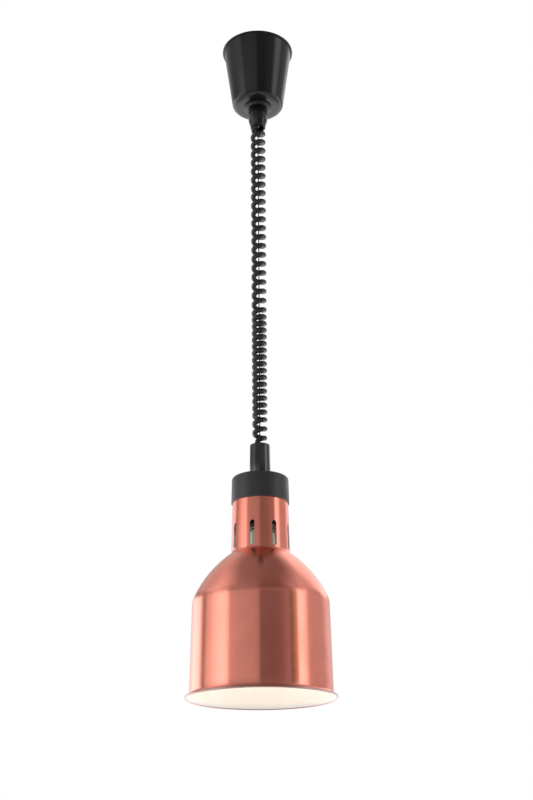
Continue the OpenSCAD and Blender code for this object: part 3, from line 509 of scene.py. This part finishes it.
# ceiling cup: a 2.3 mm lip, a slightly tapered wall and a floor with a 6.4 mm rounded edge
lip_r = CUP_HIGH.x / MM
lip_z = -2.4
cup_z = CUP_LOW.z / MM
wall_r = lip_r - 2.3
floor_r = wall_r - 12.2
cup_wall = 1.8
cup_hole_r = 10.1
cup = turned("ceiling_cup_shell", "cup_gloss_black", cup_black, [
    (wall_r - cup_wall, 0, 0), (floor_r - 1.6, cup_z + cup_wall, 4.6), (cup_hole_r, cup_z + cup_wall, 0),
    (cup_hole_r, cup_z, 0.3), (floor_r, cup_z, 6.4), (wall_r, lip_z, 0.4), (lip_r, lip_z, 0.7),
    (lip_r, 0, 0.5)], WIDE_SEGMENTS)
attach(cup, "ceiling_unit")
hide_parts("ceiling_cup")

# gland: a stepped flange ring, and a body with a fine groove above its rounded mouth
flange_r = FLANGE_HIGH.x / MM
flange_z = FLANGE_LOW.z / MM
flange_top = FLANGE_HIGH.z / MM
thread_r = 9.95
flange = turned("gland_ring", "gland_black", gland_black, [
    (thread_r, flange_top, 0), (thread_r, flange_z, 0.2), (flange_r - 2.6, flange_z, 0.5),
    (flange_r - 2.2, flange_z + 1.5, 0.3), (flange_r - 0.9, flange_z + 1.7, 0.4),
    (flange_r - 0.9, flange_z + 2.4, 0.2), (flange_r, flange_z + 2.6, 0.5), (flange_r, flange_top, 0.7)])
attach(flange, "ceiling_unit")
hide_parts("gland_flange")

gland_r = GLAND_HIGH.x / MM
gland_z = GLAND_LOW.z / MM
gland_top = GLAND_HIGH.z / MM
thread_z = gland_top - 8.3
mouth_r = 8
nose_r = 10.4
groove_r = gland_r - 0.4
gland = turned("gland_shell", "gland_black", gland_black, [
    (thread_r, gland_top, 0), (thread_r, thread_z, 0), (mouth_r, thread_z, 0), (mouth_r, gland_z, 0.8),
    (nose_r, gland_z, 0.9), (nose_r, gland_z + 2.6, 3), (groove_r, gland_z + 10.6, 1.5),
    (groove_r, gland_z + 11.6, 0.3), (gland_r, gland_z + 12, 0.3), (gland_r, gland_top, 0.6)])
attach(gland, "ceiling_unit")
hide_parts("gland_body")

# sleeve: tapered, with small edges, over a spigot that goes down into the cap
sleeve_r = SLEEVE_HIGH.x / MM
spigot_z = SLEEVE_LOW.z / MM
sleeve_z = SLEEVE_HIGH.z / MM
anchor_z = sleeve_z - 19
sleeve_top_r = 12.3
spigot_r = 11.5
spigot_bore_r = 9.7
sleeve_bore_r = 9
cap_r = CAP_HIGH.x / MM
cap_low_z = CAP_LOW.z / MM
cap_z = CAP_HIGH.z / MM
sleeve = turned("stem_sleeve_shell", "sleeve_gloss_black", sleeve_black, [
    (sleeve_bore_r, sleeve_z, 0.9), (sleeve_bore_r, anchor_z, 0), (spigot_bore_r, anchor_z, 0),
    (spigot_bore_r, spigot_z, 0.3), (spigot_r, spigot_z, 0.3), (spigot_r, cap_z, 0),
    (sleeve_r, cap_z, 0.3), (sleeve_top_r, sleeve_z, 1)])
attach(sleeve, "lamp")
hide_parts("stem_sleeve")

# cap: a spun lid with a 3 mm rounded edge, open below
cap_top_r = cap_r - 0.7
cap_hole_r = 11.6
cap_wall = 1.2
cap_ceiling_z = cap_z - 1.5
cap = turned("cap_shell", "cap_satin_black", cap_black, [
    (cap_hole_r, cap_z, 0), (cap_hole_r, cap_ceiling_z, 0), (cap_top_r - 3, cap_ceiling_z, 0),
    (cap_top_r - cap_wall, cap_z - 3, 1), (cap_r - cap_wall, cap_low_z, 0), (cap_r, cap_low_z, 0.4),
    (cap_top_r, cap_z, 3)], WIDE_SEGMENTS, 8)
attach(cap, "lamp")
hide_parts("cap")

# ------------------------------------------------------------------ shade

HOLE_R = 23.4 * MM
TOP_EDGE = 1.5 * MM
NECK_TOP_R = 33.2 * MM
NECK_LOW_R = 34.9 * MM
DOME_Z = SHADE_HIGH.z - 76.5 * MM
DOME_R = 80.3 * MM
CREASE_Z = DOME_Z - 56.5 * MM
CREASE_REACH = 5 * MM
DOME_CURVE = 136 * MM
BODY_R = 82.2 * MM
BEAD_R = 1.4 * MM
RIM_R = SHADE_HIGH.x
RIM_Z = SHADE_LOW.z
FLARE_Z = RIM_Z + 6 * MM
SHADE_WALL = 1.2 * MM
SLOT_HALF = 2.9 * MM
SLOT_LOW_Z = DOME_Z + 4 * MM
SLOT_ARC_Z = SLOT_LOW_Z + 30 * MM - SLOT_HALF
SLOT_LIFT = 9 * MM
SLOT_COUNT = 8
SLOT_TURN = math.radians(-16.3 - 90)
PLAIN_COLUMNS = 16
ARC_COLUMNS = 8
ROUNDING = 1e-4


def along(a, b, count):
    """Points from a up to b, without b."""
    share = np.linspace(0, 1, count, endpoint=False)[:, None]
    return np.array(a) * (1 - share) + np.array(b) * share


def bend(a, corner, b, count):
    """Points of the curve a (1 - t)^2 + 2 corner t (1 - t) + b t^2, from a up to b without b."""
    t = np.linspace(0, 1, count, endpoint=False)[:, None]
    return np.array(a) * (1 - t) ** 2 + 2 * np.array(corner) * t * (1 - t) + np.array(b) * t ** 2


def dome_arc(a, b, radius, short, count):
    """Points of the arc of that radius from a down to b, middle + radius (cos t, sin t), that bulges
    upwards and outwards. It ends at the distance `short` before b."""
    a, b = np.array(a), np.array(b)
    chord = b - a
    length = np.linalg.norm(chord)
    side = np.array([-chord[1], chord[0]]) / length
    middle = (a + b) / 2 - side * math.sqrt(radius ** 2 - length ** 2 / 4)
    start = math.atan2(*(a - middle)[::-1])
    sweep = 2 * math.asin(length / 2 / radius) - short / radius
    turn = np.linspace(start, start - sweep, count)
    return middle + radius * np.stack([np.cos(turn), np.sin(turn)], 1)


def neck_point(z):
    """Point of the slightly tapered neck at a height."""
    slope = (NECK_LOW_R - NECK_TOP_R) / (SHADE_HIGH.z - DOME_Z)
    return (NECK_TOP_R + slope * (SHADE_HIGH.z - z), z)


def shade_outline():
    """Outer outline from the hole in the top of the neck to the bead at the rim, as (radius, height)
    rows, and the numbers of the rows at the foot of the slots and at the start of their round tops."""
    top = SHADE_HIGH.z
    shoulder = neck_point(top - TOP_EDGE)
    foot = neck_point(DOME_Z + 1.6 * MM)
    dome_start = (NECK_LOW_R + 1.8 * MM, DOME_Z - 1.15 * MM)
    crease = (DOME_R, CREASE_Z)
    dome = dome_arc(dome_start, crease, DOME_CURVE, CREASE_REACH, 30)
    reach = CREASE_REACH / (CREASE_Z - FLARE_Z)
    body_start = (DOME_R + (BODY_R - DOME_R) * reach, CREASE_Z - CREASE_REACH)
    flare_corner = (BODY_R + 0.3 * MM, FLARE_Z - 3 * MM)
    rim = (RIM_R - BEAD_R, RIM_Z + 1.4 * BEAD_R)
    rows = [
        along((HOLE_R, top), (NECK_TOP_R - TOP_EDGE, top), 4),
        bend((NECK_TOP_R - TOP_EDGE, top), (NECK_TOP_R, top), shoulder, 5),
        along(shoulder, neck_point(SLOT_ARC_Z + SLOT_LIFT), 5),
        along(neck_point(SLOT_ARC_Z + SLOT_LIFT), neck_point(SLOT_ARC_Z), 6),
        along(neck_point(SLOT_ARC_Z), neck_point(SLOT_LOW_Z), 10),
        along(neck_point(SLOT_LOW_Z), foot, 2),
        bend(foot, (NECK_LOW_R, DOME_Z), dome_start, 6),
        dome[:-1],
        bend(dome[-1], crease, body_start, 10),
        along(body_start, (BODY_R, FLARE_Z), 16),
        bend((BODY_R, FLARE_Z), flare_corner, rim, 9),
        [rim]]
    counts = np.cumsum([len(part) for part in rows])
    return np.concatenate(rows), counts[4], counts[3]


def shade_sheet():
    """Outer face of the shade as a grid of points (r cos t, r sin t, z). Each of its eight equal sectors has
    a slot in the middle, whose columns lie at sideways distances half * sin(b) from it for equal steps of b,
    and plain columns at equal turns beside it. At the top of a slot the rows are lifted by half * cos(b),
    which makes the row there a half circle, and the lift fades out over the next rows. Faces in the slots
    are left out, and so are the vertices that no face uses."""
    outline, foot, arc = shade_outline()
    r, z = outline[:, :1], outline[:, 1:]
    b = np.linspace(-math.pi / 2, math.pi / 2, ARC_COLUMNS + 1)
    sector = 2 * math.pi / SLOT_COUNT
    neck_r = np.clip(r, NECK_TOP_R, NECK_LOW_R)
    edge = np.arcsin(SLOT_HALF / neck_r[:, 0])
    in_slot = np.arcsin(SLOT_HALF * np.sin(b) / neck_r)
    beside = np.linspace(edge, sector - edge, PLAIN_COLUMNS + 1, axis=1)[:, 1:-1]
    in_sector = np.concatenate([in_slot, beside], 1)
    per_sector = in_sector.shape[1]
    fade = 1 - (z - SLOT_ARC_Z) / SLOT_LIFT
    lifted = (np.arange(len(outline))[:, None] <= arc) & (fade > 0) & (fade <= 1 + ROUNDING)
    lift = np.zeros(in_sector.shape)
    lift[:, :ARC_COLUMNS + 1] = SLOT_HALF * np.cos(b) * np.where(lifted, fade, 0)
    turns = np.concatenate([in_sector + SLOT_TURN + k * sector for k in range(SLOT_COUNT)], 1)
    points = np.stack([r * np.cos(turns), r * np.sin(turns), z + np.tile(lift, SLOT_COUNT)], 2)
    index = np.arange(turns.size).reshape(turns.shape)
    solid = np.ones((len(outline) - 1, turns.shape[1]), bool)
    solid[arc:foot, np.arange(turns.shape[1]) % per_sector < ARC_COLUMNS] = False
    quads = grid_faces(index)[solid][:, [0, 3, 2, 1]]
    used, faces = np.unique(quads, return_inverse=True)
    return points.reshape(-1, 3)[used], faces.reshape(quads.shape).tolist()


def bake_modifiers(piece, sharp):
    """Make a piece's modifiers part of its mesh. Edges that turn by more than `sharp` degrees stay sharp."""
    graph = bpy.context.evaluated_depsgraph_get()
    mesh = bpy.data.meshes.new_from_object(piece.evaluated_get(graph), depsgraph=graph)
    piece.modifiers.clear()
    piece.data = mesh
    smooth_but_sharp(mesh, sharp)


shade = make_piece("shade_spinning", *shade_sheet(),
                   [copper.material, enamel.material, cut_edge.material], "copper_shade")
wall = shade.modifiers.new("wall", "SOLIDIFY")
wall.thickness = SHADE_WALL
wall.offset = -1
wall.use_even_offset = True
wall.use_quality_normals = True
wall.material_offset = 1
wall.material_offset_rim = 2
bake_modifiers(shade, 32)
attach(shade, "lamp")
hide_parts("shade")

# rolled bead at the rim: a full ring that the flare runs into
bead_turn = np.linspace(0, 2 * math.pi, 20, endpoint=False)
bead_outline = np.stack([RIM_R - BEAD_R + BEAD_R * np.cos(bead_turn),
                         RIM_Z + BEAD_R + BEAD_R * np.sin(bead_turn)], 1)
bead = lathe("rim_bead", bead_outline, [rim_metal.material], "copper_shade", WIDE_SEGMENTS)
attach(bead, "lamp")

# ------------------------------------------------------------------ bulb

bulb_r = BULB_HIGH.x
bulb_low_z = BULB_LOW.z
GLASS = 1.2 * MM
NECK_R = 17 * MM
BASE_R = 11.6 * MM
SILVER_LOW = 40 * MM


def cubic(a, b, c, d):
    """Points of the curve a (1 - t)^3 + 3 b t (1 - t)^2 + 3 c t^2 (1 - t) + d t^3, from a up to d."""
    t = np.linspace(0, 1, 25)[:, None]
    a, b, c, d = np.array(a), np.array(b), np.array(c), np.array(d)
    return a * (1 - t) ** 3 + 3 * b * t * (1 - t) ** 2 + 3 * c * t ** 2 * (1 - t) + d * t ** 3


def bulb_outline():
    """Outer outline of the envelope from its neck to the middle of its face, then back up inside it:
    each inner point is the outer one moved inwards by the glass, square to the outline."""
    top = BULB_HIGH.z
    wide_z = bulb_low_z + 44 * MM
    neck_z = top - 8.5 * MM
    flare_z = neck_z - 28 * MM
    flank = cubic((NECK_R, flare_z), (NECK_R, flare_z - 24 * MM),
                  (bulb_r, wide_z + 32 * MM), (bulb_r, wide_z))
    face = cubic((bulb_r, wide_z), (bulb_r, wide_z - 25 * MM), (bulb_r * 0.62, bulb_low_z), (0, bulb_low_z))
    outer = np.concatenate([
        [(BASE_R, top)], bend((BASE_R, top - 4.5 * MM), (NECK_R, top - 5.5 * MM), (NECK_R, neck_z), 8),
        along((NECK_R, neck_z), (NECK_R, flare_z), 6), flank[:-1], face])
    way = np.gradient(outer, axis=0)
    way /= np.linalg.norm(way, axis=1)[:, None]
    inner = outer + GLASS * np.stack([way[:, 1], -way[:, 0]], 1)
    inner[-1, 0] = 0
    inner[0] = (BASE_R - GLASS, top)
    return np.concatenate([outer, inner[::-1]])


glass_outline = bulb_outline()[::-1]
glass_kinds = np.where(glass_outline[:, 1] > bulb_low_z + SILVER_LOW, 0, 1)
bulb = lathe("bulb_envelope", glass_outline, [mirror_glass.material, face_glass.material], "bulb_glass", 128,
             glass_kinds)
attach(bulb, "bulb")
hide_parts("bulb_glass")

# ------------------------------------------------------------------ floor, studio and lights

FLOOR_Z = -3.7
FLOOR_R = 4.6
FLOOR_SIDES = 180
floor_turn = np.linspace(0, 2 * math.pi, FLOOR_SIDES, endpoint=False)
floor_edge = np.stack([FLOOR_R * np.cos(floor_turn), FLOOR_R * np.sin(floor_turn),
                       np.full(FLOOR_SIDES, FLOOR_Z)], 1)
floor_mesh = bpy.data.meshes.new("studio_floor")
floor_mesh.from_pydata(floor_edge.tolist(), [], [list(range(FLOOR_SIDES))])
floor = bpy.data.objects.new("studio_floor", floor_mesh)
scene.collection.objects.link(floor)

# Opal acrylic, lit from below: a pale, even floor with clouds 330 mm wide that hardly show.
acrylic = Finish("backlit_opal_acrylic", "F0F0EE", Roughness=0.5,
                 Emission_Color=rgb("FFFDFA"), Emission_Strength=0.4)
acrylic.colour(acrylic.pattern(3, 2), [(0.3, "EEEEEC"), (0.7, "F3F3F1")])
floor_mesh.materials.append(acrylic.material)

# The studio, as brightness by direction: 0 degrees is towards -Y and 90 towards +X. Three rings of white
# cards and dark gaps stand round the lamp, one above the other, and the ceiling over them is dim.
TINTS = {"white": (1.0, 1.0, 1.0), "brown": (1.0, 0.85, 0.83), "gold": (1.0, 0.98, 0.5)}
LOW_RING = [
    (-180, 0.7, "white"), (-168, 0.75, "white"), (-152, 1.2, "white"), (-138, 2.0, "white"),
    (-122, 2.0, "white"), (-114, 1.2, "white"), (-110, 0.42, "white"), (-104, 0.42, "white"),
    (-99, 0.8, "white"), (-88, 1.1, "white"), (-82, 1.45, "white"), (-75, 1.7, "white"),
    (-62, 1.9, "white"), (-56, 1.6, "white"), (-51, 0.8, "white"), (-40, 0.72, "white"),
    (-12, 0.62, "white"), (-4, 0.5, "white"), (0, 0.19, "brown"), (20, 0.16, "brown"),
    (34, 0.21, "brown"), (45, 0.37, "brown"), (51, 0.16, "brown"), (56, 0.28, "gold"),
    (61, 0.6, "gold"), (64, 1.9, "white"), (72, 1.8, "white"), (84, 0.62, "white"),
    (97, 0.55, "white"), (124, 0.54, "white"), (140, 0.85, "white"), (160, 0.7, "white")]
DARK_RING = [
    (-180, 0.8, "white"), (-160, 0.6, "white"), (-145, 0.36, "white"), (-120, 0.34, "white"),
    (-100, 0.42, "white"), (-72, 0.8, "white"), (-62, 0.8, "white"), (-54, 0.32, "white"),
    (-10, 0.31, "white"), (2, 0.36, "white"), (40, 0.4, "white"), (54, 0.4, "white"),
    (62, 1.1, "white"), (68, 1.7, "white"), (80, 1.4, "white"), (90, 0.5, "white"),
    (122, 0.5, "white"), (136, 1.6, "white"), (152, 1.6, "white"), (165, 0.8, "white")]
HIGH_RING = [
    (-180, 0.5, "white"), (-150, 0.66, "white"), (-122, 0.64, "white"), (-102, 0.92, "white"),
    (-88, 0.92, "white"), (-76, 0.78, "white"), (-60, 0.48, "white"), (-48, 0.38, "white"),
    (-30, 0.35, "white"), (-8, 0.29, "white"), (4, 0.17, "brown"), (34, 0.19, "brown"),
    (52, 0.29, "white"), (66, 0.56, "white"), (76, 0.48, "white"), (92, 0.68, "white"),
    (104, 0.62, "white"), (116, 0.58, "white"), (134, 1.3, "white"), (158, 1.1, "white")]
RING_GAIN = 2.2
BACKDROP = (1.0, 1.0, 1.0, 1.0)

world = bpy.data.worlds.new("studio")
scene.world = world
world.use_nodes = True
sky = world.node_tree
sky.nodes.clear()
axes = add(sky, "SeparateXYZ", {"Vector": add(sky, "TexCoord").outputs["Generated"]})
toward = add(sky, "Math", {0: axes.outputs["Y"], 1: -1.0}, operation="MULTIPLY").outputs["Value"]
heading = add(sky, "Math", {0: axes.outputs["X"], 1: toward}, operation="ARCTAN2").outputs["Value"]
heading_share = add(sky, "MapRange", {"Value": heading, "From Min": -math.pi, "From Max": math.pi})


def tinted(level, tint):
    """Colour of a card, as a share of the brightest one."""
    return [c * level / RING_GAIN for c in TINTS[tint]] + [1.0]


def light_ring(cards):
    """Colour by heading of one ring of (degrees, level, tint) cards."""
    ring = add(sky, "ValToRGB", {"Fac": heading_share.outputs["Result"]})
    stops = ring.color_ramp.elements
    while len(stops) < len(cards):
        stops.new(0.5)
    for stop, (degrees, level, tint) in zip(stops, cards):
        stop.position = (degrees + 180) / 360
        stop.color = tinted(level, tint)
    return ring.outputs["Color"]


def by_axis(axis, start, stop, first, last):
    """The first colour up to start on an axis of the direction, then turning to the last one at stop."""
    turned_to = add(sky, "MapRange", {"Value": axes.outputs[axis], "From Min": start, "From Max": stop})
    mix = add(sky, "Mix", {0: turned_to.outputs["Result"], 6: first, 7: last}, data_type="RGBA")
    return mix.outputs[2]


# from the horizon up: the three rings and then the ceiling, which is darker towards +X
upper = by_axis("Z", 0.285, 0.33, light_ring(LOW_RING), light_ring(DARK_RING))
upper = by_axis("Z", 0.42, 0.5, upper, light_ring(HIGH_RING))
ceiling = by_axis("X", -0.5, 0.5, tinted(0.31, "white"), tinted(0.19, "brown"))
upper = by_axis("Z", 0.78, 0.93, upper, ceiling)

# below the horizon: a white cove that is brightest behind the lamp and beside it
aside = add(sky, "Math", {0: axes.outputs["X"]}, operation="ABSOLUTE").outputs["Value"]
outward = add(sky, "Math", {0: aside, 1: 0.8, 2: axes.outputs["Y"]}, operation="MULTIPLY_ADD")
cove = add(sky, "MapRange", {"Value": outward.outputs["Value"], "From Min": -0.1, "From Max": 1.0,
                             "To Min": 0.3 / RING_GAIN, "To Max": 2.2 / RING_GAIN})
whole = by_axis("Z", -0.02, -0.2, upper, cove.outputs["Result"])

# the backdrop itself is plain white, and the rings are met by reflected and scattered light only
direct = add(sky, "LightPath").outputs["Is Camera Ray"]
around_lamp = add(sky, "Background", {"Color": whole, "Strength": RING_GAIN})
behind_lamp = add(sky, "Background", {"Color": BACKDROP, "Strength": 1.0})
shown = add(sky, "MixShader", {"Fac": direct, 1: around_lamp.outputs[0], 2: behind_lamp.outputs[0]})
add(sky, "OutputWorld", {"Surface": shown.outputs[0]})
